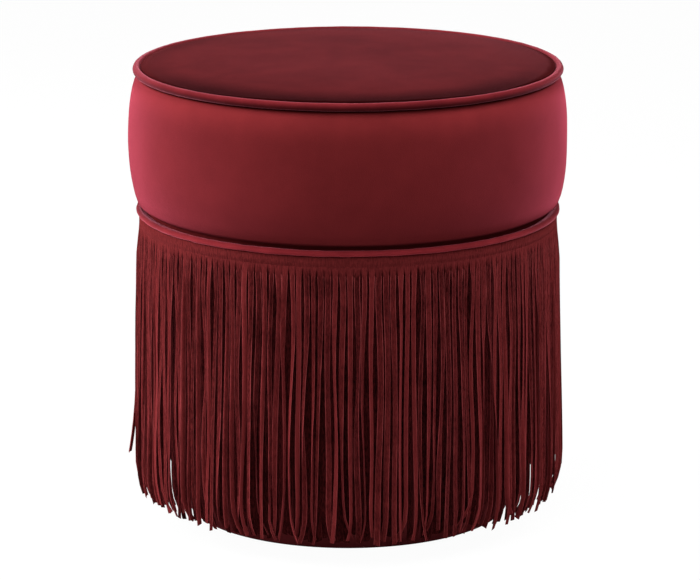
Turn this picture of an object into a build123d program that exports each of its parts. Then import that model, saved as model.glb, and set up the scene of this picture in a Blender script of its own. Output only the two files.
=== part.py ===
"""Round fringed pouf: a padded, piped velvet seat on a slim velvet drum, with a long cut fringe."""
import math
import os
import random

from build123d import *

# Driving dimensions, in millimetres, with +Z up and the floor at Z = 0

# Seat
seat_diameter = 400.0        # across the widest part of the side band
seat_depth = 128.0           # top of the seat board to the centre of the top piping
seat_crown = 11.5            # rise of the top panel above the centre of the top piping
crown_power = 4.2            # how late the crown rolls off towards its edge
band_draw = 9.8              # how far the seams draw the side band in
band_power = 2.7             # how late the side band rounds off towards its seams
band_upper_share = 0.82      # the even bulge runs between these shares of the half depth,
band_lower_share = -0.90     # and rolls in to its seams beyond them
top_seam_inset = 8.2         # centre of the top piping, inside the widest part
groove_inset = 12.5          # centre of the band's lower fold, inside the widest part
groove_rise = 1.2            # centre of that fold above the top of the seat board
groove_fold = 2.9            # radius of that fold, where the band turns down the board's edge
lower_welt_inset = 9.1       # centre of the lower piping, inside the widest part
lower_welt_drop = 1.5        # centre of the lower piping below the top of the seat board
upper_crease_angle = 262.0   # where the band leaves the top piping, round its centre
lower_crease_angle = 105.0   # where it meets its lower fold, round the fold's centre
seat_board_thickness = 18.0
foam_core_height = 80.0
top_wadding_thickness = 4.0
topper_shoulder = 14.0       # drop of the soft foam's edge below the top piping

# Cloth, cords and trim
velvet = 1.4
welt_cloth = 0.9
top_cord_diameter = 5.0
lower_cord_diameter = 3.2
seam_allowance = 8.0
lower_tail = 14.0            # part of the lower piping's tail that runs down the board's edge
board_hem = 22.0             # side band turned under the seat board
tack_strip_thickness = 0.8
tack_strip_width = 7.0
tack_strip_drop = 2.0        # top of the strip below the top of the fringe headers

# Fringe
fringe_cloth = 0.8
header_height = 9.5          # uncut, folded double
strip_width = 5.4
strip_gap = 0.9
strip_lap = 3.0              # strips run this far up inside the folded header
strip_bends = ((0.2, 0.3), (0.7, 1.0))   # share of the drop, share of the flare
tip_clearance = 21.0         # longest strips above the floor
outer_flare = 6.4            # outer layer stands out this far at its fullest
inner_flare = 1.6
flare_spread = 0.8           # strips differ by up to this much either way
tip_spread = 11.0            # and in length by up to this much
outer_curl = 4.5             # most that an outer tip curls in
inner_curl = 8.0
curl_height = 34.0           # curled part of a strip
curl_flare_share = 0.9       # flare left where the curl starts
least_curl_share = 0.3
sway_waves = 5               # sideways sways of the strips round the pouf
sway_share = 0.8             # share of the gap that neighbours close as they sway

# Drum
drum_diameter = 296.0
drum_height = 264.0          # underside of the base ring to the top of the top ring
drum_wadding_thickness = 4.0
drum_wall_thickness = 3.0
wall_joint_gap = 1.5
ring_thickness = 18.0
ring_width = 45.0
slat_count = 8
slat_width = 40.0
slat_thickness = 18.0
drum_hem = 24.0              # sleeve turned under the base ring
drum_edge_radius = 3.0
dust_cover_thickness = 0.8
dust_cover_margin = 7.0

# Fasteners and glides
screw_head_diameter = 8.0
screw_shank_diameter = 4.0
screw_head_depth = 2.4
screw_tip = 5.0
screw_cover = 5.0            # wood left beyond a screw or nail tip
glide_count = 4
glide_diameter = 22.0
glide_height = 3.0
glide_chamfer = 1.0
nail_diameter = 2.4

# Room between neighbouring curved layers, and around screws
ease = 0.2

# Levels, from the floor up
dust_level = glide_height
hem_level = dust_level + dust_cover_thickness
ring_level = hem_level + velvet
board_level = ring_level + drum_height
seat_level = board_level + seat_board_thickness
groove_level = seat_level + groove_rise
lower_welt_level = seat_level - lower_welt_drop
top_seam_level = seat_level + seat_depth
crown_level = top_seam_level + seat_crown

# Radii, from the seams inwards and then outwards to the fringe
seat_radius = seat_diameter / 2
top_seam_radius = seat_radius - top_seam_inset
groove_radius = seat_radius - groove_inset
lower_welt_ring = seat_radius - lower_welt_inset
top_welt_radius = top_cord_diameter / 2 + ease + welt_cloth
lower_welt_radius = lower_cord_diameter / 2 + ease + welt_cloth
band_tail_radius = groove_radius - groove_fold
board_radius = band_tail_radius - velvet - ease
welt_tail_radius = band_tail_radius + ease
tack_radius = welt_tail_radius + 2 * welt_cloth + ease
header_thickness = 2 * fringe_cloth
inner_header_radius = tack_radius + tack_strip_thickness + ease
outer_header_radius = inner_header_radius + header_thickness + ease

drum_radius = drum_diameter / 2
drum_wadding_radius = drum_radius - velvet - ease
drum_wall_radius = drum_wadding_radius - drum_wadding_thickness - ease
frame_radius = drum_wall_radius - drum_wall_thickness - ease
ring_bore_radius = frame_radius - ring_width
slat_face = math.sqrt(frame_radius**2 - (slat_width / 2) ** 2)
slat_back = slat_face - slat_thickness
slat_pitch = 360 / slat_count

# Top seam: both hems and the piping's tail lie on each other, inside the piping
fold_radius = top_seam_radius - top_welt_radius - ease
seam_edge_radius = fold_radius - seam_allowance
panel_hem_level = top_seam_level + welt_cloth + ease
panel_fold_level = panel_hem_level + velvet
band_hem_level = top_seam_level - welt_cloth - ease


def save(solid, node):
    export_step(solid, f"parts/{node}.step")


def turned(edges):
    """Solid turned about Z from a closed outline drawn as radius and height."""
    return revolve(Plane.XZ * make_face(edges), Axis.Z)


def tube(inner_radius, thickness, bottom, height):
    wall = Circle(inner_radius + thickness) - Circle(inner_radius)
    return Pos(0, 0, bottom) * extrude(wall, height)


def around(angle, solid):
    return Rot(0, 0, angle) * solid


# Wood screw along -Z with its head flush at Z = 0, and the hole that takes it
def wood_screw(length, room=0.0):
    head = screw_head_diameter / 2 + room
    shank = screw_shank_diameter / 2 + room
    outline = Polyline(
        (0, 0),
        (head, 0),
        (shank, -screw_head_depth),
        (shank, -(length - screw_tip)),
        (0, -length - room),
        close=True,
    )
    return revolve(Plane.XZ * make_face(outline), Axis.Z)


# Drum frame: uprights let into two plywood rings and screwed from outside
slat_screw_length = slat_face - ring_bore_radius - screw_cover
slat_screw_levels = (ring_level + ring_thickness / 2, board_level - ring_thickness / 2)
seat_screw_length = ring_thickness + seat_board_thickness - screw_cover
seat_screw_circle = (slat_back + ring_bore_radius) / 2
slat_angles = [index * slat_pitch for index in range(slat_count)]
seat_screw_angles = [angle + slat_pitch / 2 for angle in slat_angles]


def slat_screw(level, room=0.0):
    return Pos(slat_face, 0, level) * Rot(0, 90, 0) * wood_screw(slat_screw_length, room)


def seat_screw(room=0.0):
    head_level = board_level - ring_thickness
    return Pos(seat_screw_circle, 0, head_level) * Rot(180, 0, 0) * wood_screw(seat_screw_length, room)


def notched_ring(bottom, screw_level):
    ring = tube(ring_bore_radius, ring_width, bottom, ring_thickness)
    notch_depth = frame_radius - slat_back + ease
    notch = Box(
        notch_depth,
        slat_width + 2 * ease,
        ring_thickness,
        align=(Align.MIN, Align.CENTER, Align.MIN),
    )
    cut = Pos(slat_back, 0, bottom) * notch + slat_screw(screw_level, ease)
    return ring - [around(angle, cut) for angle in slat_angles]


def slat():
    upright = Box(
        slat_thickness,
        slat_width,
        drum_height,
        align=(Align.MAX, Align.CENTER, Align.MIN),
    )
    holes = [slat_screw(level, ease) for level in slat_screw_levels]
    return Pos(slat_face, 0, ring_level) * upright - holes


# Glides: a plastic disc on a nail, driven through the dust cover into the base ring
glide_circle = drum_radius - drum_hem - glide_diameter / 2
glide_angles = [slat_pitch / 2 + index * 360 / glide_count for index in range(glide_count)]
nail_top = ring_level + ring_thickness - screw_cover


def glide():
    disc = extrude(Circle(glide_diameter / 2), glide_height)
    disc = chamfer(disc.faces().sort_by(Axis.Z)[0].edges(), glide_chamfer)
    nail = extrude(Circle(nail_diameter / 2), nail_top)
    return Pos(glide_circle, 0, 0) * (disc + nail)


def nail_holes():
    hole = Pos(glide_circle, 0, 0) * extrude(Circle(nail_diameter / 2 + ease), nail_top + ease)
    return [around(angle, hole) for angle in glide_angles]


def drum_wall():
    wall = tube(drum_wall_radius - drum_wall_thickness, drum_wall_thickness, ring_level, drum_height)
    joint = Box(wall_joint_gap, drum_wall_radius, drum_height, align=(Align.CENTER, Align.MIN, Align.MIN))
    return wall - Pos(0, 0, ring_level) * joint


# Velvet sleeve of the drum, turned under the base ring with a rounded edge
def drum_cover():
    hem_radius = drum_radius - drum_hem
    edge_radius = drum_radius - drum_edge_radius
    edge_level = hem_level + drum_edge_radius
    outside = Polyline((hem_radius, hem_level), (edge_radius, hem_level))
    edge = RadiusArc((edge_radius, hem_level), (drum_radius, edge_level), -drum_edge_radius)
    inside_radius = drum_edge_radius - velvet
    rest = Polyline((drum_radius, edge_level), (drum_radius, board_level),
                    (drum_radius - velvet, board_level), (drum_radius - velvet, edge_level))
    inside_edge = RadiusArc((drum_radius - velvet, edge_level), (edge_radius, ring_level), inside_radius)
    hem = Polyline((edge_radius, ring_level), (hem_radius, ring_level), (hem_radius, hem_level))
    return turned(outside.edges() + edge.edges() + rest.edges() + inside_edge.edges() + hem.edges())


# Seat board, with pilot holes for the screws that come up through the top ring
def seat_board():
    board = Pos(0, 0, board_level) * extrude(Circle(board_radius), seat_board_thickness)
    return board - [around(angle, seat_screw(ease)) for angle in seat_screw_angles]


# Crown of the top panel: almost flat in the middle, rolling off near the piping
crown_rise = crown_level - panel_fold_level


def crown_height(radius, drop):
    return panel_fold_level + crown_rise * (1 - (radius / fold_radius) ** crown_power) - drop


def crown_line(edge_radius, drop):
    """Curve from the centre of the crown out to a radius, at a depth below the panel's face."""
    shares = (0.0, 0.4, 0.6, 0.75, 0.88, 1.0)
    points = [(share * edge_radius, crown_height(share * edge_radius, drop)) for share in shares]
    return Spline(*points)


def top_panel():
    inner_edge = fold_radius * (1 - velvet / crown_rise) ** (1 / crown_power)
    face_line = crown_line(fold_radius, 0)
    back_line = crown_line(inner_edge, velvet)
    hem = Polyline(
        (fold_radius, panel_fold_level),
        (fold_radius, panel_hem_level),
        (seam_edge_radius, panel_hem_level),
        (seam_edge_radius, panel_fold_level),
        (inner_edge, panel_fold_level),
    )
    centre = Line((0, crown_level), (0, crown_level - velvet))
    return turned(face_line.edges() + hem.edges() + back_line.edges() + centre.edges())


# Padding under the panel: wadding over a soft foam layer over the firm foam
wadding_edge_radius = seam_edge_radius - 2 * velvet
wadding_drop = velvet + ease
topper_drop = wadding_drop + top_wadding_thickness + ease
core_level = seat_level + foam_core_height


def top_wadding():
    upper = crown_line(wadding_edge_radius, wadding_drop)
    lower = crown_line(wadding_edge_radius, wadding_drop + top_wadding_thickness)
    rim = Line(upper @ 1, lower @ 1)
    centre = Line(upper @ 0, lower @ 0)
    return turned(upper.edges() + rim.edges() + lower.edges() + centre.edges())


def foam_topper():
    upper = crown_line(wadding_edge_radius, topper_drop)
    under_hem = band_hem_level - velvet - ease
    rest = Polyline(
        upper @ 1,
        (seam_edge_radius - ease, under_hem),
        (board_radius, top_seam_level - topper_shoulder),
        (board_radius, core_level),
        (0, core_level),
        upper @ 0,
    )
    return turned(upper.edges() + rest.edges())


# Side band: bulges between its seams, hugs the top piping and folds in above the lower one
band_middle = (top_seam_level + groove_level) / 2
band_half = (top_seam_level - groove_level) / 2


def bulge_point(share, inset):
    radius = seat_radius - band_draw * abs(share) ** band_power
    return (radius - inset, band_middle + share * band_half)


def bulge_slope(share):
    """Change of radius with height."""
    steep = band_draw * band_power * abs(share) ** (band_power - 1) / band_half
    return -math.copysign(steep, share)


def bulge_line(inset):
    shares = (band_upper_share, 0.6, 0.3, 0.0, -0.3, -0.6, band_lower_share)
    ends = [(-bulge_slope(band_upper_share), -1), (-bulge_slope(band_lower_share), -1)]
    return Spline(*[bulge_point(share, inset) for share in shares], tangents=ends)


def band_line(inset):
    """One face of the band, from its top hem to its tail; inset is 0 for the outer face."""
    upper_arc_radius = top_welt_radius + ease + inset
    lower_arc_radius = groove_fold + inset
    hem_height = band_hem_level - inset
    hem_angle = 180 + math.degrees(math.asin((top_seam_level - hem_height) / upper_arc_radius))
    upper_arc = CenterArc(
        (top_seam_radius, top_seam_level), upper_arc_radius, hem_angle, upper_crease_angle - hem_angle
    )
    bulge = bulge_line(inset)
    upper_roll = TangentArc(
        bulge @ 0, upper_arc @ 1, tangent=(bulge_slope(band_upper_share), 1)
    )
    lower_arc = CenterArc(
        (groove_radius, groove_level), lower_arc_radius, lower_crease_angle, 180 - lower_crease_angle
    )
    lower_roll = TangentArc(
        bulge @ 1, lower_arc @ 0, tangent=(-bulge_slope(band_lower_share), -1)
    )
    hem = Line((seam_edge_radius, hem_height), upper_arc @ 0)
    tail_radius = band_tail_radius - inset
    tail_bottom = board_level - velvet + inset
    tail = Polyline(lower_arc @ 1, (tail_radius, tail_bottom), (board_radius - board_hem, tail_bottom))
    pieces = (hem, upper_arc, upper_roll, bulge, lower_roll, lower_arc, tail)
    return [edge for piece in pieces for edge in piece.edges()], hem @ 0, tail @ 1


def side_band():
    outer, outer_start, outer_end = band_line(0)
    inner, inner_start, inner_end = band_line(velvet)
    ends = Line(outer_start, inner_start).edges() + Line(outer_end, inner_end).edges()
    return turned(outer + inner + ends)


def side_wadding():
    face_line = bulge_line(velvet + ease)
    core = Polyline(
        face_line @ 1,
        (board_radius + ease, (face_line @ 1).Y),
        (board_radius + ease, (face_line @ 0).Y),
        face_line @ 0,
    )
    return turned(face_line.edges() + core.edges())


# Pipings: a cord in a cloth tube, with the stitched tail that holds it in the seam
def cord(ring_radius, level, diameter):
    return Pos(0, 0, level) * Torus(ring_radius, diameter / 2)


def piping(ring_radius, level, cord_diameter, tail):
    bore = cord_diameter / 2 + ease
    section = Circle(bore + welt_cloth) + tail - Circle(bore)
    return revolve(Plane.XZ * Pos(ring_radius, level) * section, Axis.Z)


def top_piping():
    length = top_welt_radius + seam_allowance
    tail = Rectangle(length, 2 * welt_cloth, align=(Align.MAX, Align.CENTER))
    return piping(top_seam_radius, top_seam_level, top_cord_diameter, tail)


def lower_piping():
    """Lies on the fringe headers, with a tail that runs in over them and down the board's edge."""
    reach = lower_welt_ring - welt_tail_radius
    over = Rectangle(reach, 2 * welt_cloth, align=(Align.MAX, Align.CENTER))
    down = Rectangle(2 * welt_cloth, lower_tail, align=(Align.MIN, Align.MAX))
    tail = over + Pos(-reach, welt_cloth) * down
    return piping(lower_welt_ring, lower_welt_level, lower_cord_diameter, tail)


# Fringe: a folded header with strips cut from the same cloth, hanging free of the drum
header_top = lower_welt_level - lower_welt_radius - ease
header_bottom = header_top - header_height


def strip(header_radius, flare, tip_level, curl):
    """One strip at angle 0, from inside its header down to its curled tip."""
    start = header_radius + header_thickness / 2
    drop = header_bottom - tip_level
    bends = [
        (start + flare_share * flare, header_bottom - drop_share * drop)
        for drop_share, flare_share in strip_bends
    ]
    curl_start = start + curl_flare_share * flare
    hang = [
        (start, header_bottom + strip_lap),
        *bends,
        (curl_start, tip_level + curl_height),
        (curl_start - curl, tip_level),
    ]
    half = fringe_cloth / 2
    outer_face = [(radius + half, height) for radius, height in hang]
    inner_face = [(radius - half, height) for radius, height in reversed(hang)]
    profile = make_face(Polyline(*outer_face, *inner_face, close=True))
    return extrude(Plane.XZ * profile, strip_width / 2, both=True)


def fringe(header_radius, flare, most_curl, seed):
    """Header and strips of one layer as one piece of cloth."""
    draw = random.Random(seed)
    header = tube(header_radius, header_thickness, header_bottom, header_height)
    count = int(2 * math.pi * header_radius / (strip_width + strip_gap))
    step = 2 * math.pi / count
    most_sway = sway_share * strip_gap / (sway_waves * step)
    pivot = Pos(0, 0, header_bottom)
    strips = []
    for index in range(count):
        strip_flare = flare + draw.uniform(-flare_spread, flare_spread)
        tip_level = tip_clearance + draw.uniform(0, tip_spread)
        curl = most_curl * draw.uniform(least_curl_share, 1.0)
        turn = index * step
        sway = most_sway * math.sin(sway_waves * turn + seed)
        lean = math.degrees(math.atan2(sway, header_bottom - tip_level))
        straight = strip(header_radius, strip_flare, tip_level, curl)
        swayed = pivot * Rot(lean, 0, 0) * pivot.inverse() * straight
        strips.append(around(math.degrees(turn), swayed))
    return header.fuse(*strips)


os.makedirs("parts", exist_ok=True)

for number, angle in enumerate(glide_angles, start=1):
    save(around(angle, glide()), f"glide_{number}")

dust_cover = extrude(Circle(drum_radius - dust_cover_margin), dust_cover_thickness)
save(Pos(0, 0, dust_level) * dust_cover - nail_holes(), "dust_cover")
save(notched_ring(ring_level, slat_screw_levels[0]) - nail_holes(), "base_ring")
for number, angle in enumerate(slat_angles, start=1):
    save(around(angle, slat()), f"drum_slat_{number}")
top_ring = notched_ring(board_level - ring_thickness, slat_screw_levels[1])
save(top_ring - [around(angle, seat_screw(ease)) for angle in seat_screw_angles], "drum_top_ring")
slat_screws = [around(angle, slat_screw(level)) for angle in slat_angles for level in slat_screw_levels]
save(Compound(slat_screws), "slat_screws")
save(drum_wall(), "drum_wall")
padding_bottom = ring_level + drum_edge_radius
drum_wadding = tube(
    drum_wadding_radius - drum_wadding_thickness,
    drum_wadding_thickness,
    padding_bottom,
    board_level - padding_bottom,
)
save(drum_wadding, "drum_wadding")
save(drum_cover(), "drum_cover")

save(seat_board(), "seat_board")
save(Compound([around(angle, seat_screw()) for angle in seat_screw_angles]), "seat_screws")
save(Pos(0, 0, seat_level) * extrude(Circle(board_radius), foam_core_height), "foam_core")
save(foam_topper(), "foam_topper")
save(top_wadding(), "top_wadding")
save(side_wadding(), "side_wadding")
save(top_panel(), "top_panel")
save(side_band(), "side_band")
save(cord(top_seam_radius, top_seam_level, top_cord_diameter), "top_welt_cord")
save(top_piping(), "top_welt_cover")
save(cord(lower_welt_ring, lower_welt_level, lower_cord_diameter), "lower_welt_cord")
save(lower_piping(), "lower_welt_cover")

tack_bottom = header_top - tack_strip_drop - tack_strip_width
save(tube(tack_radius, tack_strip_thickness, tack_bottom, tack_strip_width), "tack_strip")
save(fringe(inner_header_radius, inner_flare, inner_curl, seed=3), "fringe_inner")
save(fringe(outer_header_radius, outer_flare, outer_curl, seed=5), "fringe_outer")
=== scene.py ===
"""Round fringed pouf: velvet seat with piped edges, hidden drum, and a long suede fringe in two layers."""
import math
import random

import bmesh
import bpy
from mathutils import Matrix, Vector, noise


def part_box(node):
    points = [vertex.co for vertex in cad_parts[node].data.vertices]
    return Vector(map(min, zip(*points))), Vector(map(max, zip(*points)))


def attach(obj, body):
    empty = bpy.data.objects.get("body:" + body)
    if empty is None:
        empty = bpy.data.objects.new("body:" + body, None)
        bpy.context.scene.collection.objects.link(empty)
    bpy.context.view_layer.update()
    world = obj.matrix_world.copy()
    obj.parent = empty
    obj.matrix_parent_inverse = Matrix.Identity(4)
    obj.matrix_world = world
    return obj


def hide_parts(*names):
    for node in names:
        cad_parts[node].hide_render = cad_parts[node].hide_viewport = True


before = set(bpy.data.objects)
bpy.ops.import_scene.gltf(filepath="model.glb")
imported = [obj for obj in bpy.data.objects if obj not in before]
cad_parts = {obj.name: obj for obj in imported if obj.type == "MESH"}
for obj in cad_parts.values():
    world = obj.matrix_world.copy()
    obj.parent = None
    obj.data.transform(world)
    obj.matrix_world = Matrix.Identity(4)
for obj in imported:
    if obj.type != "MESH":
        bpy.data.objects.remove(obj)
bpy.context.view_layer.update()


# Plywood rings and seat board: birch plywood, sawn round, the rings notched for the uprights.
# The rings hold the drum together and the board is screwed down on the upper one.
ply_frequency = 3100.0


class Wire:
    """One socket of a node tree. Sums on it add Math nodes, and node() adds any other node."""

    def __init__(self, tree, socket=None):
        self.tree = tree
        self.socket = socket

    def node(self, kind, settings, sockets, out=0):
        """New node: its settings are made first, and then its sockets get their values or links."""
        made = self.tree.nodes.new("ShaderNode" + kind)
        for name, value in settings.items():
            setattr(made, name, value)
        for name, value in sockets.items():
            if isinstance(value, Wire):
                self.tree.links.new(value.socket, made.inputs[name])
            else:
                made.inputs[name].default_value = value
        return Wire(self.tree, made.outputs[out] if made.outputs else None)

    def sum(self, operation, first, second):
        return self.node("Math", {"operation": operation}, {0: first, 1: second})

    def __add__(self, other):
        return self.sum("ADD", self, other)

    def __radd__(self, other):
        return self.sum("ADD", other, self)

    def __sub__(self, other):
        return self.sum("SUBTRACT", self, other)

    def __rsub__(self, other):
        return self.sum("SUBTRACT", other, self)

    def __mul__(self, other):
        return self.sum("MULTIPLY", self, other)

    def __rmul__(self, other):
        return self.sum("MULTIPLY", other, self)

    def where(self):
        return self.node("TexCoord", {}, {}, "Object")

    def along(self, axis):
        """The Object coordinate on one axis: X, Y or Z."""
        return self.node("SeparateXYZ", {}, {0: self.where()}, axis)

    def stretched(self, scales):
        """Object coordinates, scaled by a different amount along each axis."""
        return self.node("Mapping", {}, {"Vector": self.where(), "Scale": scales})

    def cloud(self, place, scale, detail=2.0, distortion=0.0):
        sockets = {"Vector": place, "Scale": scale, "Detail": detail, "Distortion": distortion}
        return self.node("TexNoise", {}, sockets)

    def between(self, value, low, high):
        """0 below low, 1 above high, and smooth in the middle."""
        sockets = {"Value": value, "From Min": low, "From Max": high}
        return self.node("MapRange", {"interpolation_type": "SMOOTHSTEP"}, sockets)

    def blend(self, share, first, second):
        return self.node("Mix", {"data_type": "RGBA"}, {0: share, 6: first, 7: second}, 2)

    def close(self, colour, roughness, height=None, depth=0.0, dull=None, **constants):
        """Ends the tree in a Principled shader, with the height as a bump of that depth in metres.

        Where dull is 1, the surface has no sheen.
        """
        sockets = {"Base Color": colour, "Roughness": roughness}
        if height is not None:
            sockets["Normal"] = self.node("Bump", {}, {"Height": height, "Distance": depth})
        for name, value in constants.items():
            sockets[name.replace("_", " ").title().replace("Ior", "IOR")] = value
        shader = self.node("BsdfPrincipled", {}, sockets)
        if dull:
            flat = self.node("BsdfPrincipled", {}, sockets | {"Sheen Weight": 0.0})
            shader = self.node("MixShader", {}, {0: dull, 1: shader, 2: flat})
        self.node("OutputMaterial", {}, {"Surface": shader})


def new_finish(name):
    """Empty material, and the wire that its nodes are added with."""
    finish = bpy.data.materials.new(name)
    finish.use_nodes = True
    finish.node_tree.nodes.clear()
    return finish, Wire(finish.node_tree)


def dress(finish, *nodes):
    """Gives CAD nodes that keep their shape a finish."""
    for node in nodes:
        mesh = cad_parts[node].data
        mesh.materials.clear()
        mesh.materials.append(finish)


def birch_plywood():
    finish, wire = new_finish("birch_plywood")
    plies = wire.node("Math", {"operation": "SINE"}, {0: wire.along("Z") * ply_frequency})
    dark_ply = wire.between(plies, -0.2, 0.2)
    figure = wire.cloud(wire.stretched((6.0, 90.0, 90.0)), 1.0, 5.0, 0.6)
    veneer = wire.blend(figure, (0.56, 0.40, 0.24, 1), (0.72, 0.55, 0.36, 1))
    colour = wire.blend(dark_ply * 0.45, veneer, (0.36, 0.22, 0.12, 1))
    wire.close(colour, 0.62 + figure * 0.15, figure, 0.0002)
    return finish


dress(birch_plywood(), "base_ring", "drum_top_ring", "seat_board")


# Uprights: eight planed pine battens, let into the notches of both rings.
# Each is held by a countersunk screw at its top and bottom.
def planed_pine():
    finish, wire = new_finish("planed_pine")
    rings = wire.cloud(wire.stretched((70.0, 70.0, 4.0)), 1.0, 4.0, 1.2)
    fibres = wire.cloud(wire.stretched((900.0, 900.0, 20.0)), 1.0, 2.0)
    colour = wire.blend(rings, (0.50, 0.31, 0.15, 1), (0.76, 0.57, 0.35, 1))
    wire.close(colour, 0.55 + fibres * 0.2, fibres, 0.0002)
    return finish


dress(planed_pine(), *[f"drum_slat_{number}" for number in range(1, 9)])


# Screws: wood screws of yellow-zinc steel, with countersunk heads.
# They hold the uprights in both rings, and go up through the upper ring into the seat board.
def zinc_steel():
    finish, wire = new_finish("zinc_steel")
    bloom = wire.cloud(wire.where(), 700.0, 3.0)
    colour = wire.blend(bloom, (0.62, 0.52, 0.28, 1), (0.78, 0.72, 0.50, 1))
    wire.close(colour, 0.28 + bloom * 0.2, metallic=1.0)
    return finish


dress(zinc_steel(), "slat_screws", "seat_screws")


# Drum wall: a sheet of thin hardboard, bent round the frame and pinned, its ends butted at the back.
# It gives the padding and the sleeve a smooth round ground.
def hardboard():
    finish, wire = new_finish("hardboard")
    fibres = wire.cloud(wire.where(), 1400.0, 4.0, 0.4)
    patches = wire.cloud(wire.where(), 60.0, 2.0)
    colour = wire.blend(patches * 0.5 + fibres * 0.5, (0.17, 0.09, 0.045, 1), (0.33, 0.19, 0.10, 1))
    wire.close(colour, 0.5 + fibres * 0.25, fibres, 0.0002)
    return finish


dress(hardboard(), "drum_wall")


# Drum padding: a single thickness of polyester wadding, glued round the hardboard.
# It softens the drum's wall under the velvet sleeve.
padding_steps = 120
padding_rows = 14
padding_depth = 0.004
padding_clear = 0.0002


def spaced(start, end, count):
    """Values from start to end, in that many equal steps."""
    return [start + (end - start) * step / count for step in range(count + 1)]


def turned(outline, steps, closed):
    """Bmesh turned about Z from (radius, height) points; an open outline may end on the axis."""
    bm = bmesh.new()
    corners = [bm.verts.new((radius, 0, height)) for radius, height in outline]
    pairs = list(zip(corners, corners[1:]))
    if closed:
        pairs.append((corners[-1], corners[0]))
    edges = [bm.edges.new(pair) for pair in pairs]
    bmesh.ops.spin(bm, geom=corners + edges, axis=(0, 0, 1), cent=(0, 0, 0),
                   angle=2 * math.pi, steps=steps, use_merge=True)
    bmesh.ops.remove_doubles(bm, verts=bm.verts[:], dist=1e-6)
    bmesh.ops.recalc_face_normals(bm, faces=bm.faces[:])
    return bm


def soften(bm, size, depth, seed):
    """Moves each point in or out along its normal by up to depth, in lumps of about that size."""
    bm.normal_update()
    for vert in bm.verts:
        lump = noise.noise(vert.co / size + Vector((seed, 0, 0)))
        vert.co += vert.normal * (lump * depth)


def make_piece(name, bm, finish, slot, *nodes):
    """Finished piece on the pouf's one body, in place of the CAD nodes that it stands for."""
    mesh = bpy.data.meshes.new(name)
    bm.to_mesh(mesh)
    bm.free()
    mesh.materials.append(finish)
    mesh.shade_smooth()
    piece = bpy.data.objects.new(name, mesh)
    bpy.context.scene.collection.objects.link(piece)
    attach(piece, "root")
    if nodes:
        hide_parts(*nodes)
    return piece


def polyester_wadding():
    finish, wire = new_finish("polyester_wadding")
    fluff = wire.cloud(wire.where(), 260.0, 5.0, 1.5)
    colour = wire.blend(fluff, (0.62, 0.62, 0.60, 1), (0.86, 0.86, 0.84, 1))
    wire.close(colour, 0.9, fluff, 0.0015, sheen_weight=0.3)
    return finish


wadding_finish = polyester_wadding()
padding_low, padding_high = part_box("drum_wadding")
padding_radius = padding_high.x - padding_clear
padding_inside = padding_radius - padding_depth + 2 * padding_clear
padding_heights = spaced(padding_low.z + padding_clear, padding_high.z - padding_clear, padding_rows)
padding_outline = [(padding_radius, height) for height in padding_heights]
padding_outline += [(padding_inside, height) for height in reversed(padding_heights)]
padding = turned(padding_outline, padding_steps, True)
soften(padding, size=0.03, depth=0.0002, seed=3)
drum_padding = make_piece("drum_padding", padding, wadding_finish, "wadding", "drum_wadding")


# Drum sleeve: velvet sewn into a tube, pulled over the drum and turned under the base ring.
# Its rounded lower edge is the dark line that shows below the fringe.
velvet_backing = 0.0006
sleeve_steps = 160
sleeve_rows = 18
sleeve_edge_radius = 0.003
sleeve_edge_points = 4
seam_half_width = 0.0022
seam_dip = 0.0011


def velvet(name, dark, light, pile, catch, spread, painted_light=None, dull_in_shade=None):
    """Cut velvet: a dark ground, and raised pile that catches light at a slant by that much.

    A lightness that changes over the piece is painted light and shade, and where the dull mask is 1 the
    sheen is left out, a painted shade.
    """
    finish, wire = new_finish(name)
    place = wire.where()
    brushed = wire.cloud(place, 11.0, 2.0, 0.8)
    mottle = wire.cloud(place, 60.0, 3.0)
    tufts = wire.cloud(place, 1500.0, 2.0)
    nap = brushed * 0.5 + mottle * 0.28 + tufts * 0.22
    colour = wire.blend(wire.between(nap, 0.28, 0.72), dark, light)
    # Painted light and shade: the colour is scaled by a lightness that changes over the piece.
    if painted_light:
        colour = wire.node("VectorMath", {"operation": "SCALE"}, {0: colour, "Scale": painted_light(wire)})
    # Where the dull mask is 1, the sheen is left out, a painted shade.
    wire.close(colour, 0.78 + mottle * 0.16, tufts * 0.7 + mottle * 0.3, 0.0003, dull_in_shade and dull_in_shade(wire),
               specular_ior_level=0.0, sheen_weight=catch, sheen_roughness=spread, sheen_tint=pile)
    return finish


def thicken(piece, depth):
    """Gives a sheet its thickness, on its inner side."""
    wall = piece.modifiers.new("cloth", "SOLIDIFY")
    wall.thickness = depth
    wall.offset = -1.0


def sew_back_seam(bm, half_width, dip, lowest, highest):
    """Draws cloth in along an upright seam at the back, between two heights."""
    valley = half_width * 0.35
    for across in (-half_width, -valley, valley, half_width):
        behind = [face for face in bm.faces if face.calc_center_median().y > 0]
        parts = set(behind)
        for face in behind:
            parts.update(face.edges)
            parts.update(face.verts)
        bmesh.ops.bisect_plane(bm, geom=list(parts), dist=1e-6, plane_co=(across, 0, 0), plane_no=(1, 0, 0))
    for vert in bm.verts:
        inside = lowest < vert.co.z < highest
        if inside and vert.co.y > 0 and abs(vert.co.x) < (valley + half_width) / 2:
            vert.co.y -= dip


def arc(ring, level, radius, start, end, points):
    """Points of an outline on an arc about (ring, level), from one angle to another."""
    swings = spaced(start, end, points)
    return [(ring + radius * math.cos(swing), level + radius * math.sin(swing)) for swing in swings]


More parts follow.
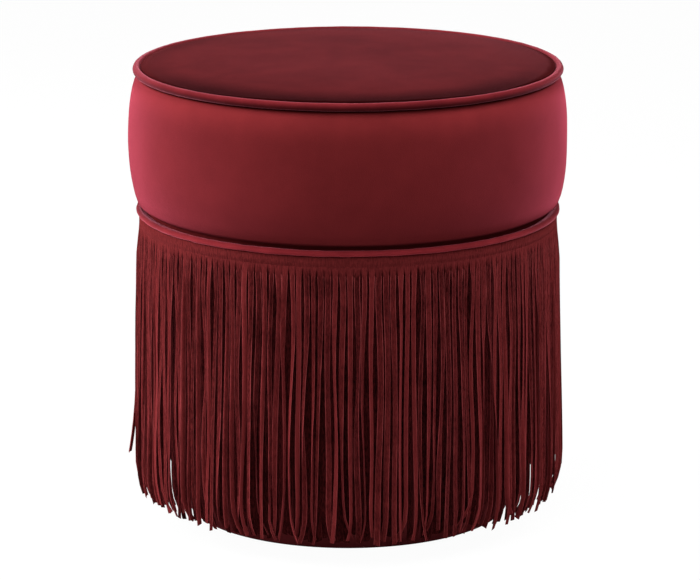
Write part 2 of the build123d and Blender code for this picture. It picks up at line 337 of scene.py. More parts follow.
drum_velvet = velvet("drum_velvet", (0.15, 0.021, 0.024, 1), (0.22, 0.031, 0.035, 1),
                     pile=(0.9, 0.3, 0.35, 1), catch=0.4, spread=0.3)
sleeve_low, sleeve_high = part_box("drum_cover")
sleeve_radius = sleeve_high.x
sleeve_hem_radius = min(corner.co.xy.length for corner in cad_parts["drum_cover"].data.vertices)
sleeve_outline = [(sleeve_hem_radius, sleeve_low.z)]
sleeve_start = sleeve_low.z + sleeve_edge_radius
sleeve_outline += arc(sleeve_radius - sleeve_edge_radius, sleeve_start, sleeve_edge_radius,
                      -math.pi / 2, 0.0, sleeve_edge_points)
sleeve_heights = spaced(sleeve_start, sleeve_high.z, sleeve_rows)
sleeve_outline += [(sleeve_radius, height) for height in sleeve_heights[1:]]
sleeve = turned(sleeve_outline, sleeve_steps, False)
sew_back_seam(sleeve, seam_half_width, seam_dip, sleeve_start, sleeve_high.z)
drum_sleeve = make_piece("drum_sleeve", sleeve, drum_velvet, "velvet", "drum_cover")
thicken(drum_sleeve, velvet_backing)


# Dust cloth: thin black non-woven polypropylene under the drum, cut round.
# It hides the frame and lies over the turned edge of the sleeve, held by staples.
dust_cells = 40
dust_sag = 0.0006
dust_ripples = 22
dust_cloth_depth = 0.0005


def round_grid(cells, radius):
    """Round sheet of square cells, with no pinched middle."""
    bm = bmesh.new()
    bmesh.ops.create_grid(bm, x_segments=cells, y_segments=cells, size=1.0)
    for vert in bm.verts:
        across, along, _ = vert.co
        vert.co.x = radius * across * math.sqrt(1 - along * along / 2)
        vert.co.y = radius * along * math.sqrt(1 - across * across / 2)
    return bm


def black_nonwoven():
    finish, wire = new_finish("black_nonwoven")
    webbing = wire.cloud(wire.where(), 420.0, 4.0, 0.8)
    dimples = wire.node("TexVoronoi", {}, {"Vector": wire.where(), "Scale": 650.0})
    colour = wire.blend(webbing, (0.008, 0.008, 0.009, 1), (0.030, 0.030, 0.032, 1))
    wire.close(colour, 0.85, webbing * 0.5 + dimples * 0.5, 0.0004)
    return finish


dust_low, dust_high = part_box("dust_cover")
dust_radius = dust_high.x
dust = round_grid(dust_cells, dust_radius)
for vert in dust.verts:
    slack = 1 - (vert.co.xy.length / dust_radius) ** 4
    ripple = noise.noise(Vector((vert.co.x * dust_ripples, vert.co.y * dust_ripples, 5.0)))
    vert.co.z = dust_high.z - dust_sag * slack * (0.5 + 0.5 * ripple)
bmesh.ops.recalc_face_normals(dust, faces=dust.faces[:])
dust_cloth = make_piece("dust_cloth", dust, black_nonwoven(), "dust_cloth", "dust_cover")
thicken(dust_cloth, dust_cloth_depth)


# Staples: flat galvanised wire, shot through the cloth into the wood.
# One ring holds the dust cloth and the sleeve's turned edge to the base ring.
staple_length = 0.0110
staple_width = 0.0013
staple_depth = 0.0005
staple_rounding = 0.00012
staple_stray = 0.12
staple_askew = 0.16
dust_staples = 30
dust_staple_inset = 0.006


def shoot_staples(name, count, radius, level, seed):
    """Ring of staples lying on the cloth at a level, each a little askew."""
    draw = random.Random(seed)
    bm = bmesh.new()
    for index in range(count):
        turn = 2 * math.pi * (index + draw.uniform(-staple_stray, staple_stray)) / count
        askew = draw.gauss(0, staple_askew)
        middle = Vector((radius * math.cos(turn), radius * math.sin(turn), level - staple_depth / 2))
        place = Matrix.Translation(middle) @ Matrix.Rotation(turn + math.pi / 2 + askew, 4, "Z")
        place = place @ Matrix.Diagonal((staple_length, staple_width, staple_depth, 1))
        bmesh.ops.create_cube(bm, size=1.0, matrix=place)
    bmesh.ops.bevel(bm, geom=bm.edges[:], offset=staple_rounding, affect="EDGES",
                    segments=1, profile=0.5, material=-1)
    return make_piece(name, bm, staple_wire, "screw_steel")


def galvanised_wire():
    finish, wire = new_finish("galvanised_wire")
    drawn = wire.cloud(wire.where(), 900.0, 2.0)
    colour = wire.blend(drawn, (0.52, 0.53, 0.55, 1), (0.74, 0.75, 0.77, 1))
    wire.close(colour, 0.3 + drawn * 0.2, metallic=1.0)
    return finish


staple_wire = galvanised_wire()
shoot_staples("dust_cloth_staples", dust_staples, dust_radius - dust_staple_inset, dust_low.z, seed=11)


# Glides: four turned nylon discs on nails, knocked in through the dust cloth.
# They are all that touches the floor.
def nylon():
    finish, wire = new_finish("nylon")
    scuffs = wire.cloud(wire.where(), 480.0, 4.0, 1.0)
    colour = wire.blend(wire.between(scuffs, 0.35, 0.75), (0.045, 0.035, 0.032, 1), (0.11, 0.095, 0.085, 1))
    wire.close(colour, 0.38 + scuffs * 0.25, scuffs, 0.0001)
    return finish


dress(nylon(), *[f"glide_{number}" for number in range(1, 5)])


# Foam: a firm polyurethane disc glued to the seat board, and a softer crowned one on it.
# Both are cut with a hot wire, so their edges are only just eased.
foam_steps = 128
foam_rows = 6
foam_edge = 0.002


def foam(name, dark, light, pore_scale):
    finish, wire = new_finish(name)
    pores = wire.node("TexVoronoi", {}, {"Vector": wire.where(), "Scale": pore_scale})
    ageing = wire.cloud(wire.where(), 18.0, 3.0)
    colour = wire.blend(ageing * 0.6 + pores * 0.4, dark, light)
    wire.close(colour, 0.95, pores, 0.0008)
    return finish


core_low, core_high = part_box("foam_core")
core_outline = [(0, core_low.z), (core_high.x - foam_edge, core_low.z)]
core_heights = spaced(core_low.z + foam_edge, core_high.z - foam_edge, foam_rows)
core_outline += [(core_high.x, height) for height in core_heights]
core_outline += [(core_high.x - foam_edge, core_high.z), (0, core_high.z)]
firm_foam = foam("firm_foam", (0.60, 0.52, 0.36, 1), (0.78, 0.71, 0.54, 1), pore_scale=750.0)
foam_block = make_piece("foam_block", turned(core_outline, foam_steps, False), firm_foam,
                        "firm_foam", "foam_core")

crown_power = 4.2
crown_points = 14
crown_crowding = 1.6
velvet_depth = 0.0014
topper_shoulder_drop = 0.0185
topper_ease_in = 0.0026
topper_ease_up = 0.0024
panel_low, panel_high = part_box("top_panel")
fold_radius = panel_high.x
fold_level = panel_low.z + velvet_depth
crown_rise = panel_high.z - fold_level


def crown_height(radius):
    """Outer face of the top panel: almost flat in the middle, rolling off near the piping."""
    return fold_level + crown_rise * (1 - (radius / fold_radius) ** crown_power)


def crown_line(edge_radius, drop):
    """Points of the crown from the axis to an edge, closer together where it rolls off."""
    shares = spaced(0, 1, crown_points)
    radii = [edge_radius * (1 - (1 - share) ** crown_crowding) for share in shares]
    return [(radius, crown_height(radius) - drop) for radius in radii]


topper_low, topper_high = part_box("foam_topper")
_, wadding_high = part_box("top_wadding")
topper_shoulder_level = topper_high.z - topper_shoulder_drop
topper_outline = crown_line(wadding_high.x, panel_high.z - topper_high.z)
topper_outline += [
    (topper_high.x - topper_ease_in, topper_shoulder_level + topper_ease_up),
    (topper_high.x, topper_shoulder_level),
    (topper_high.x, (topper_shoulder_level + topper_low.z) / 2),
    (topper_high.x, topper_low.z),
    (0, topper_low.z),
]
soft_foam = foam("soft_foam", (0.66, 0.68, 0.70, 1), (0.84, 0.85, 0.86, 1), pore_scale=900.0)
foam_crown = make_piece("foam_crown", turned(topper_outline, foam_steps, False), soft_foam,
                        "soft_foam", "foam_topper")


# Seat wadding: a round of polyester wadding over the foam, and a strip of it round the side.
# It fills the cover out and keeps the velvet from creasing on the foam's edges.
wadding_steps = 128
top_wadding_depth = 0.003
wadding_squeeze = 0.0012

top_outline = crown_line(wadding_high.x, panel_high.z - wadding_high.z + wadding_squeeze)
top_outline += [(radius, height - top_wadding_depth) for radius, height in reversed(top_outline)]
top_padding = make_piece("top_padding", turned(top_outline, wadding_steps, False), wadding_finish,
                         "wadding", "top_wadding")

band_draw = 0.0098
band_power = 2.7
band_rows = 16
groove_rise = 0.0012
band_low, band_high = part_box("side_band")
_, board_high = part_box("seat_board")
top_piping_low, top_piping_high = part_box("top_welt_cover")
seat_radius = band_high.x
top_piping_radius = (top_piping_high.z - top_piping_low.z) / 2
top_piping_level = top_piping_high.z - top_piping_radius
groove_level = board_high.z + groove_rise
band_middle = (top_piping_level + groove_level) / 2
band_half = (top_piping_level - groove_level) / 2


def bulge_radius(height):
    """Outer face of the side band: fullest half way up, and drawn in at both seams."""
    return seat_radius - band_draw * abs((height - band_middle) / band_half) ** band_power


side_low, side_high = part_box("side_wadding")
side_inset = seat_radius - side_high.x + wadding_squeeze
side_core = core_high.x + padding_clear
side_outline = []
for height in spaced(side_low.z, side_high.z, band_rows):
    side_outline.append((bulge_radius(height) - side_inset, height))
side_outline += [(side_core, side_high.z), (side_core, side_low.z)]
side_padding = make_piece("side_padding", turned(side_outline, wadding_steps, True), wadding_finish,
                          "wadding", "side_wadding")


# Top panel: a round of burgundy velvet, drawn over the crown and sewn to the piping all round.
# Its edge is folded back under itself as the seam allowance.
panel_cells = 44
panel_swell = 0.0018
panel_pressure = 4.0
panel_loose_share = 0.985
seam_allowance = 0.008
fold_gap = 0.0001
cloth_frames = 20
cloth_lumps = 16


def inflate(piece, loose, pressure, swell):
    """Swells cloth against its seams with Blender's cloth; the fullest point moves out by swell."""
    start = [vert.co.copy() for vert in piece.data.vertices]
    seams = piece.vertex_groups.new(name="seams")
    fullness = piece.vertex_groups.new(name="fullness")
    for index, place in enumerate(start):
        lumps = 0.8 + 0.45 * noise.noise(place * cloth_lumps)
        fullness.add([index], min(1.0, lumps), "REPLACE")
        if not loose(place):
            seams.add([index], 1.0, "REPLACE")
    padding_push = piece.modifiers.new("padding_push", "CLOTH")
    settings = padding_push.settings
    settings.quality = 6
    settings.tension_stiffness = 20
    settings.compression_stiffness = 20
    settings.bending_stiffness = 2
    settings.use_pressure = True
    settings.uniform_pressure_force = pressure
    settings.vertex_group_pressure = fullness.name
    settings.vertex_group_mass = seams.name
    settings.effector_weights.gravity = 0
    padding_push.collision_settings.use_collision = False
    padding_push.point_cache.frame_end = cloth_frames
    scene = bpy.context.scene
    for step in range(1, cloth_frames + 1):
        scene.frame_set(step)
    settled = piece.evaluated_get(bpy.context.evaluated_depsgraph_get()).data.vertices
    moves = [after.co - before for after, before in zip(settled, start)]
    piece.modifiers.remove(padding_push)
    scene.frame_set(1)
    furthest = max(move.length for move in moves)
    for vert, before, move in zip(piece.data.vertices, start, moves):
        vert.co = before + move * (swell / furthest)


def sew_under(piece, level, allowance, gap):
    """Folds the open edge of a round sheet straight down and back under itself."""
    bm = bmesh.new()
    bm.from_mesh(piece.data)
    for shrink in (0.0, allowance):
        edge = [line for line in bm.edges if line.is_boundary]
        made = bmesh.ops.extrude_edge_only(bm, edges=edge)["geom"]
        for vert in made:
            if isinstance(vert, bmesh.types.BMVert):
                reach = vert.co.xy.length
                vert.co.x *= (reach - shrink) / reach
                vert.co.y *= (reach - shrink) / reach
                vert.co.z = level + gap
    bmesh.ops.recalc_face_normals(bm, faces=bm.faces[:])
    bm.to_mesh(piece.data)
    bm.free()
    piece.data.shade_smooth()


def panel_painted_shade(wire):
    """Painted shade: darker along the piping, most of all at the front."""
    radius = wire.node("VectorMath", {"operation": "LENGTH"}, {0: wire.stretched((1, 1, 0))}, "Value")
    near_piping = wire.between(radius, 0.150, 0.182)
    behind_front = wire.between(wire.along("Y"), -0.14, 0.0)
    return 1.0 - near_piping * (0.75 - behind_front * 0.55)


# The top panel's velvet is a darker copy of the band's, a painted shade: the top gets more light than the
# band.
top_velvet = velvet("top_velvet", (0.050, 0.0053, 0.0060, 1), (0.081, 0.0086, 0.0096, 1),
                    pile=(1.0, 0.30, 0.37, 1), catch=0.115, spread=0.3, painted_light=panel_painted_shade)
panel = round_grid(panel_cells, fold_radius)
for vert in panel.verts:
    share = vert.co.xy.length / fold_radius
    vert.co.z = crown_height(vert.co.xy.length) - panel_swell * (1 - share**2)
seat_top = make_piece("seat_top", panel, top_velvet, "velvet", "top_panel")
inflate(seat_top, lambda place: place.xy.length < fold_radius * panel_loose_share,
        panel_pressure, panel_swell)
sew_under(seat_top, panel_low.z, seam_allowance, fold_gap)
thicken(seat_top, velvet_backing)


# Side band: one strip of the same velvet, joined at the back and sewn to the top piping.
# It bulges over the wadding, folds in to a groove, and is pulled down and stapled under the seat board.
band_steps = 168
band_swell = 0.0018
band_fullness = 0.0013
band_pressure = 4.0
band_hem = 0.022
band_staples = 40
roll_points = 6
piping_clear = 0.0002
hem_angle = math.radians(196)
upper_crease = math.radians(240)
lower_crease = math.radians(105)
bulge_top_share = 0.82
bulge_bottom_share = -0.90
groove_fold = 0.0029
under_fold = 0.001
seam_margin = 0.001

top_piping_ring = top_piping_high.x - top_piping_radius
band_hug = top_piping_radius + piping_clear
band_tail_radius = board_high.x + velvet_depth + piping_clear
groove_ring = band_tail_radius + groove_fold
hem_end = top_piping_ring - band_hug - seam_allowance

band_outline = [(hem_end, top_piping_level + band_hug * math.sin(hem_angle))]
band_outline += arc(top_piping_ring, top_piping_level, band_hug, hem_angle, upper_crease, roll_points)
for row, share in enumerate(spaced(bulge_top_share, bulge_bottom_share, band_rows)):
    height = band_middle + share * band_half
    fill = 1 - (2 * row / band_rows - 1) ** 4
    band_outline.append((bulge_radius(height) + (band_fullness - band_swell) * fill, height))
band_outline += arc(groove_ring, groove_level, groove_fold, lower_crease, math.pi, roll_points)
band_outline += [
    (band_tail_radius, band_low.z + under_fold),
    (band_tail_radius - under_fold, band_low.z),
    (band_tail_radius - band_hem, band_low.z),
]
bulge_top = band_middle + bulge_top_share * band_half
bulge_bottom = band_middle + bulge_bottom_share * band_half


def band_painted_light(wire):
    """Painted light and shade: lighter towards the top piping, darker towards the bottom, and darker in the
    seam under the piping.
    """
    height = wire.along("Z")
    lower_lift = wire.between(height, 0.298, 0.335) * 0.2
    upper_lift = wire.between(height, 0.380, 0.408) * 0.65
    in_seam = wire.between(height, 0.4088, 0.4108)
    return (1.15 + lower_lift + upper_lift) * (1.0 - in_seam * 0.85)


def band_dull_in_shade(wire):
    """No sheen where the band turns in under the piping and to the groove, a painted shade."""
    height = wire.along("Z")
    above_groove = wire.between(height, 0.288, 0.306)
    in_seam = wire.between(height, 0.4080, 0.4105)
    return 1.0 - above_groove * (1.0 - in_seam)


band_velvet = velvet("band_velvet", (0.081, 0.0083, 0.0089, 1), (0.103, 0.0106, 0.0114, 1),
                     pile=(1.0, 0.15, 0.24, 1), catch=1.0, spread=0.41, painted_light=band_painted_light, dull_in_shade=band_dull_in_shade)
seat_band = make_piece("seat_band", turned(band_outline, band_steps, False), band_velvet,
                       "velvet", "side_band")
inflate(seat_band, lambda place: bulge_bottom + seam_margin < place.z < bulge_top - seam_margin,
        band_pressure, band_swell)
band = bmesh.new()
band.from_mesh(seat_band.data)
sew_back_seam(band, seam_half_width, seam_dip, groove_level + groove_fold, top_piping_level - band_hug)
band.to_mesh(seat_band.data)
band.free()
seat_band.data.shade_smooth()
thicken(seat_band, velvet_backing)
shoot_staples("band_staples", band_staples, band_tail_radius - band_hem / 2, band_low.z, seed=23)


# Pipings: a strip of velvet cut on the bias, folded round a twisted cotton cord and stitched.
# The thick one runs round the top edge, and the thin one lies on the fringe's headers.
piping_steps = 240
piping_points = 18
piping_cloth = 0.0008
piping_tail_half = 0.0009
cord_steps = 300
cord_points = 12
cord_strands = 3
cord_lay = 0.011
cord_groove = 0.08
lower_piping_radius = 0.0027


def lay_cord(name, ring, level, radius, node):
    """Three-strand cord: the strands swell the section as they wind round."""
    section = arc(ring, level, radius, 0.0, 2 * math.pi, cord_points)
    bm = turned(section[:-1], cord_steps, True)
    winds = round(2 * math.pi * ring / (cord_lay * cord_strands)) * cord_strands
    for vert in bm.verts:
        turn = math.atan2(vert.co.y, vert.co.x)
        middle = Vector((ring * math.cos(turn), ring * math.sin(turn), level))
        out = vert.co - middle
        swing = math.atan2(out.z, out.dot(middle.xy.to_3d().normalized()))
        groove = 0.5 - 0.5 * math.cos(cord_strands * swing + winds * turn)
        vert.co = middle + out * (1 - cord_groove * groove)
    return make_piece(name, bm, cotton, "welt_cord", node)


def twisted_cotton():
    finish, wire = new_finish("twisted_cotton")
    fibres = wire.cloud(wire.where(), 1300.0, 4.0, 0.6)
    colour = wire.blend(fibres, (0.58, 0.54, 0.46, 1), (0.80, 0.77, 0.70, 1))
    wire.close(colour, 0.9, fibres, 0.0003)
    return finish


def piping_velvet(name, level, radius, under, over):
    """Velvet that is lighter or darker under the cord than over it, a painted light and shade."""
    shading_bottom = level - radius * 0.6
    shading_top = level + radius * 0.9

    def painted_light(wire):
        return under + wire.between(wire.along("Z"), shading_bottom, shading_top) * (over - under)

    return velvet(name, (0.10, 0.0085, 0.0110, 1), (0.165, 0.0155, 0.0195, 1),
                  pile=(1.0, 0.30, 0.40, 1), catch=0.6, spread=0.35, painted_light=painted_light)


def fold_piping(name, outline, finish, unevenness, node):
    """Cloth tube with its stitched tail, a little uneven where the bias strip was eased round."""
    bm = turned(outline, piping_steps, False)
    soften(bm, size=0.012, depth=unevenness, seed=41)
    piece = make_piece(name, bm, finish, "velvet", node)
    thicken(piece, piping_cloth)
    return piece


cotton = twisted_cotton()
lower_piping_low, lower_piping_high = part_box("lower_welt_cover")
lower_piping_ring = lower_piping_high.x - lower_piping_radius
lower_piping_level = lower_piping_high.z - lower_piping_radius
top_cord_low, top_cord_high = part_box("top_welt_cord")
lower_cord_low, lower_cord_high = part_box("lower_welt_cord")
lay_cord("top_piping_cord", top_piping_ring, top_piping_level,
         (top_cord_high.z - top_cord_low.z) / 2, "top_welt_cord")
lay_cord("lower_piping_cord", lower_piping_ring, lower_piping_level,
         (lower_cord_high.z - lower_cord_low.z) / 2, "lower_welt_cord")

top_tail_angle = math.pi - math.asin(piping_tail_half / top_piping_radius)
tail_end = top_piping_ring - top_piping_radius - seam_allowance
top_fold = [(tail_end, top_piping_level + piping_tail_half)]
top_fold += arc(top_piping_ring, top_piping_level, top_piping_radius,
                top_tail_angle, -top_tail_angle, piping_points)
top_fold += [(tail_end, top_piping_level - piping_tail_half)]
# The top piping is darker on its underside and lighter on top, a painted shade and highlight.
top_piping_velvet = piping_velvet("top_piping_velvet", top_piping_level, top_piping_radius,
                                  under=0.35, over=1.12)
top_piping = fold_piping("top_piping", top_fold, top_piping_velvet,
                         unevenness=0.00022, node="top_welt_cover")

lower_tail_angle = math.pi - math.asin(piping_tail_half / lower_piping_radius)
tail_inner = band_tail_radius + piping_clear
tail_outer = tail_inner + 2 * piping_tail_half
lower_fold = [(tail_inner, lower_piping_low.z), (tail_inner, lower_piping_level + piping_tail_half)]
lower_fold += arc(lower_piping_ring, lower_piping_level, lower_piping_radius,
                  lower_tail_angle, -lower_tail_angle, piping_points)
lower_fold += [(tail_outer, lower_piping_level - piping_tail_half), (tail_outer, lower_piping_low.z)]
# The lower piping is darker on top, in the groove, and lighter below, a painted shade.
lower_piping_velvet = piping_velvet("lower_piping_velvet", lower_piping_level, lower_piping_radius,
                                    under=1.9, over=1.05)
lower_piping = fold_piping("lower_piping", lower_fold, lower_piping_velvet,
                           unevenness=0.0004, node="lower_welt_cover")


# Tack strip: a ribbon of grey card, laid along the tail of the lower piping, behind the fringe's headers.
# The staples go through it, so that they pull evenly all round.
def grey_card():
    finish, wire = new_finish("grey_card")
    pulp = wire.cloud(wire.where(), 1100.0, 4.0, 0.5)
    colour = wire.blend(pulp, (0.20, 0.18, 0.155, 1), (0.34, 0.31, 0.27, 1))
    wire.close(colour, 0.85, pulp, 0.0001)
    return finish


dress(grey_card(), "tack_strip")


# Fringe: two layers of thin suede cloth, each slit into narrow strips below an uncut header.
# The header is folded over the card and stapled. The strips hang free, so they sway, turn and curl.
strip_rows = 14
row_crowding = 0.08
strip_thickness = 0.0011
header_steps = 200
header_height = 0.0095
header_thickness = 0.0016
header_shade = 0.80
inner_ring = 0.1886
outer_ring = 0.1904
slit_short = 0.002
slit_long = 0.024
loosening = 0.035
shading = 0.009
clump_drift = 0.0034
clumps = 6.5
strip_drift = 0.0014
drift_bend = 1.3
flare_bend = 0.9
layer_step = 0.0012
layer_spread = 0.0006
sway_range = (0.0003, 0.0020)
sway_count = (0.6, 1.7)
sway_outward = 0.6
sway_outward_pace = 0.8
upper_twist_degrees = 34
upper_twist_start = (0.02, 0.25)
upper_twist_run = 0.25
lower_twist_degrees = 42
lower_twist_start = (0.35, 0.65)
lower_twist_run = 0.35
cup_range = (0.0, 0.0017)
curl_length = 0.030
curl_share = (0.3, 1.0)
tip_hook = 0.004
tip_slant = 0.0016
tip_spread = 0.009
tip_skew = 1.5
# Painted light: how much lighter the strips grow towards their tips.
tip_painted_light = 0.4
darkest_strip = 0.3
dark_skew = 1.3
stray_turn = math.radians(181)
stray_curl = -0.009
stray_droop = 0.075
stray_rise = 0.032


def suede(name, dark, light, cut_edge_and_highlight):
    """Napped suede cloth: each strip its own tone, paler along its cut edges, partly the cut's own lighter
    colour and partly a painted highlight.
    """
    finish, wire = new_finish(name)
    shade = wire.node("Attribute", {"attribute_name": "strip_shade"}, {}, "Fac")
    from_middle = wire.node("Attribute", {"attribute_name": "strip_edge"}, {}, "Fac")
    nap = wire.between(wire.cloud(wire.stretched((1.0, 1.0, 0.25)), 900.0, 3.0, 0.4), 0.3, 0.7)
    rubbed = wire.between(wire.cloud(wire.where(), 55.0, 3.0), 0.3, 0.7)
    tone = shade * 0.68 + nap * 0.24 + rubbed * 0.08
    body = wire.blend(wire.between(tone, 0.05, 0.95), dark, light)
    # The pale edge colour is partly the suede's cut and partly a painted highlight.
    edge = wire.between(from_middle, 0.74, 1.0) * (0.35 + rubbed * 0.6)
    colour = wire.blend(edge, body, cut_edge_and_highlight)
    wire.close(colour, 0.82 + nap * 0.14, nap, 0.0004, specular_ior_level=0.0,
               sheen_weight=0.2, sheen_roughness=0.45, sheen_tint=(1.0, 0.15, 0.17, 1))
    return finish


def plain_strip():
    """Straight four-sided strip: cut edges at X -1 and 1, faces out to Y -1 and 1, Z from 0 to 1."""
    bm = bmesh.new()
    made = bmesh.ops.create_cube(bm, size=1.0)["verts"]
    bmesh.ops.rotate(bm, verts=made, cent=(0, 0, 0), matrix=Matrix.Rotation(math.pi / 4, 3, "Z"))
    bmesh.ops.scale(bm, verts=made, vec=(math.sqrt(2), math.sqrt(2), 1))
    bmesh.ops.translate(bm, verts=made, vec=(0, 0, 0.5))
    upright = [edge for edge in bm.edges if abs(edge.verts[0].co.z - edge.verts[1].co.z) > 0.5]
    bmesh.ops.subdivide_edges(bm, edges=upright, cuts=strip_rows - 1, use_grid_fill=True)
    for edge in bm.edges:
        at_cut_edge = all(abs(vert.co.x) > 0.5 for vert in edge.verts)
        at_end = all(abs(vert.co.z - 0.5) > 0.49 for vert in edge.verts)
        edge.smooth = not (at_cut_edge or at_end)
    mesh = bpy.data.meshes.new("plain_strip")
    bm.to_mesh(mesh)
    bm.free()
    return mesh


def ease(value, start, length):
    """0 up to start, 1 from start + length on, and smooth between."""
    share = min(1.0, max(0.0, (value - start) / length))
    return share * share * (3 - 2 * share)


def hang_strip(verts, layers, draw, turn, ring, widths, top, tip, flare, curl, droop, gather,
               unrest, shade_lightness):
    """Hangs one strip from the header: it parts from the next ones, sways, turns and curls at its tip."""
    shade, edge = layers
    pitch, narrow, wide = widths
    width = draw.uniform(narrow, wide)
    slits = {-1: draw.uniform(slit_short, slit_long), 0: slit_long, 1: draw.uniform(slit_short, slit_long)}
    drift = gather + draw.gauss(0, strip_drift) * unrest
    sway = draw.uniform(*sway_range) * unrest
    sways = draw.uniform(*sway_count)
    phase = draw.uniform(0, 2 * math.pi)
    upper_twist = math.radians(draw.gauss(0, upper_twist_degrees)) * unrest
    lower_twist = math.radians(draw.gauss(0, lower_twist_degrees)) * unrest
    upper_start = draw.uniform(*upper_twist_start)
    lower_start = draw.uniform(*lower_twist_start)
    cup = draw.uniform(*cup_range)
    hook = draw.gauss(0, tip_hook) * unrest
    tip_curl = curl * draw.uniform(*curl_share)
    slant = draw.uniform(-tip_slant, tip_slant)
    # A shaded layer's lightness darkens its strips, a painted shade.
    tone = (darkest_strip + (1 - darkest_strip) * draw.random() ** dark_skew) * shade_lightness
    for vert in verts:
        across, through, down = vert.co
        share = down - row_crowding * math.sin(2 * math.pi * down)
        hang = (top - tip) * share
        loose = ease(hang, 0.0, loosening)
        curled = max(0.0, hang - (top - tip) + droop) / droop
        swing = 2 * math.pi * sways * share + phase
        outward = sway_outward * sway * math.sin(sway_outward_pace * swing) * loose * share
        reach = ring + flare * share**flare_bend + outward - tip_curl * curled**2
        aside = drift * share**drift_bend + sway * math.sin(swing) * loose + hook * curled**2
        twist = upper_twist * ease(share, upper_start, upper_twist_run)
        twist += lower_twist * ease(share, lower_start, lower_twist_run)
        twist *= loose
        side = across / 2 * (pitch + (width - pitch) * ease(hang, 0.0, slits[round(across)]))
        belly = loose * (strip_thickness / 2 + cup)
        thick = {1: belly, 0: 0.0, -1: belly - strip_thickness}[round(through)]
        angle = turn + aside / reach
        out = Vector((math.cos(angle), math.sin(angle), 0))
        along = Vector((-math.sin(angle), math.cos(angle), 0))
        vert.co = out * (reach + side * math.sin(twist) + thick * math.cos(twist))
        vert.co += along * (side * math.cos(twist) - thick * math.sin(twist))
        at_tip = curled > 0.95
        vert.co.z = top - hang + (slant * across if at_tip else 0.0)
        # Painted light: the tone grows lighter towards the tips.
        lightened_tone = tone * (1 - tip_painted_light / 3 + tip_painted_light * share)
        vert[shade] = header_shade + (lightened_tone - header_shade) * ease(hang, 0.0, shading)
        # A shaded layer's strips lose their pale cut edges, a painted shade.
        vert[edge] = abs(across) * ease(hang, 0.0, shading) * shade_lightness


def hang_fringe(name, node, count, header_ring, narrow, wide, flare, curl, unrest, shade_lightness,
                stray, seed):
    """Header ring with its strips, each strip a little in front of or behind the next."""
    draw = random.Random(seed)
    low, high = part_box(node)
    header_top = high.z
    header_bottom = high.z - header_height
    half = header_thickness / 2
    fringe = turned([
        (header_ring - half, header_bottom),
        (header_ring + half, header_bottom),
        (header_ring + half, header_bottom + header_height / 2),
        (header_ring + half, header_top - half),
        (header_ring, header_top),
        (header_ring - half, header_top - half),
    ], header_steps, True)
    shade = fringe.verts.layers.float.new("strip_shade")
    edge = fringe.verts.layers.float.new("strip_edge")
    for vert in fringe.verts:
        vert[shade] = header_shade
    for line in fringe.edges:
        line.smooth = any(vert.co.z > header_bottom for vert in line.verts)
    strip = plain_strip()
    pitch = 2 * math.pi * (header_ring + half) / count
    for index in range(count):
        turn = 2 * math.pi * index / count
        clump = Vector((math.cos(turn) * clumps, math.sin(turn) * clumps, seed))
        gather = clump_drift * unrest * noise.noise(clump)
        tip = low.z + draw.random() ** tip_skew * tip_spread
        layer = (index % 3 - 1) * layer_step + draw.uniform(-layer_spread, layer_spread)
        strays = stray and abs(turn - stray_turn) < math.pi / count
        hung = len(fringe.verts)
        fringe.from_mesh(strip)
        fringe.verts.ensure_lookup_table()
        hang_strip(fringe.verts[hung:], (shade, edge), draw, turn, header_ring + half,
                   (pitch, narrow, wide), top=header_bottom, tip=tip + stray_rise * strays,
                   flare=flare + layer * unrest, curl=stray_curl if strays else curl,
                   droop=stray_droop if strays else curl_length, gather=gather,
                   unrest=unrest, shade_lightness=shade_lightness)
    bpy.data.meshes.remove(strip)
    bmesh.ops.recalc_face_normals(fringe, faces=fringe.faces[:])
    return make_piece(name, fringe, fringe_suede, "fringe_suede", node)


fringe_suede = suede("fringe_suede", (0.006, 0.0007, 0.0007, 1), (0.150, 0.0181, 0.0190, 1),
                     (0.40, 0.066, 0.070, 1))
# The inner strips get a fifth of the lightness and no pale cut edges, a painted shade: they hang behind the
# outer strips.
inner_fringe = hang_fringe("inner_fringe", "fringe_inner", count=187, header_ring=inner_ring,
                           narrow=0.0062, wide=0.00635, flare=0.0008, curl=0.008,
                           unrest=0.15, shade_lightness=0.2, stray=False, seed=7)
outer_fringe = hang_fringe("outer_fringe", "fringe_outer", count=189, header_ring=outer_ring,
                           narrow=0.0032, wide=0.0052, flare=0.0050, curl=0.009,
                           unrest=1.0, shade_lightness=1.0, stray=True, seed=5)


# Studio: a plain pale floor in a pale room, which is not part of the pouf, and the photograph's viewpoint.
# Soft square lamps stand left, right, behind at the left, at both front corners and above the front.
floor_half = 12.0
ambient_light = 0.1
lamp_width = 1.2
lamp_aim = Vector((0.0, 0.0, 0.25))


def pale_floor():
    finish, wire = new_finish("pale_floor")
    path = wire.node("LightPath", {}, {}, "Is Camera Ray")
    speckle = wire.cloud(wire.where(), 3.0, 2.0)
    colour = wire.blend(speckle, (0.50, 0.50, 0.50, 1), (0.54, 0.54, 0.54, 1))
    paint = wire.node("BsdfDiffuse", {}, {"Color": colour})
    white = wire.node("Emission", {}, {"Color": (1, 1, 1, 1), "Strength": 1.04})
    shown = wire.node("MixShader", {}, {0: path * 0.93, 1: paint, 2: white})
    wire.node("OutputMaterial", {}, {"Surface": shown})
    return finish


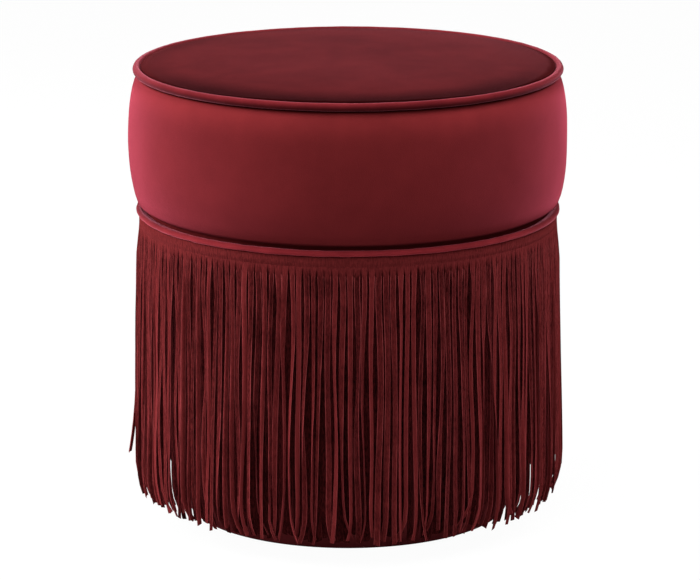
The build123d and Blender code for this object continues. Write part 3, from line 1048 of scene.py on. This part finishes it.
def pale_room(ambient):
    world = bpy.data.worlds.new("pale_room")
    world.use_nodes = True
    world.node_tree.nodes.clear()
    wire = Wire(world.node_tree)
    camera_ray = wire.node("LightPath", {}, {}, "Is Camera Ray")
    glossy_ray = wire.node("LightPath", {}, {}, "Is Glossy Ray")
    through_ray = wire.node("LightPath", {}, {}, "Is Transmission Ray")
    seen = wire.node("Math", {"operation": "ADD", "use_clamp": True},
                     {0: camera_ray + glossy_ray, 1: through_ray})
    light = wire.node("Background", {}, {"Color": (1, 1, 1, 1), "Strength": ambient})
    white = wire.node("Background", {}, {"Color": (1, 1, 1, 1), "Strength": 1.0})
    both = wire.node("MixShader", {}, {0: seen, 1: light, 2: white})
    wire.node("OutputWorld", {}, {"Surface": both})
    bpy.context.scene.world = world


def lamp(name, place, power):
    light = bpy.data.lights.new(name, "AREA")
    light.shape = "SQUARE"
    light.size = lamp_width
    light.energy = power
    holder = bpy.data.objects.new(name, light)
    holder.location = place
    holder.rotation_euler = (lamp_aim - Vector(place)).to_track_quat("-Z", "Y").to_euler()
    bpy.context.scene.collection.objects.link(holder)


floor_mesh = bpy.data.meshes.new("studio_floor")
floor_grid = bmesh.new()
bmesh.ops.create_grid(floor_grid, x_segments=1, y_segments=1, size=floor_half)
floor_grid.to_mesh(floor_mesh)
floor_grid.free()
floor_mesh.materials.append(pale_floor())
studio_floor = bpy.data.objects.new("studio_floor", floor_mesh)
bpy.context.scene.collection.objects.link(studio_floor)

pale_room(ambient_light)
lamp("left_softbox", (-2.10, 0.1, 1.30), power=76.0)
lamp("right_softbox", (1.65, 0.1, 1.95), power=35.0)
lamp("left_rim", (-1.65, 1.45, 1.2), power=16.0)
lamp("left_fill", (-1.5, -1.6, 1.3), power=6.0)
lamp("right_fill", (1.5, -1.6, 1.3), power=5.0)
lamp("front_top", (0.0, -1.15, 2.5), power=38.0)

camera_data = bpy.data.cameras.new("photo_camera")
camera_data.lens = 195.6
camera_data.sensor_width = 36.0
camera = bpy.data.objects.new("photo_camera", camera_data)
camera.location = (0.0018, -3.4005, 1.0463)
camera.rotation_euler = (math.radians(76.125), 0.0, 0.0)
bpy.context.scene.collection.objects.link(camera)
bpy.context.scene.camera = camera
bpy.context.scene.view_settings.view_transform = "Standard"
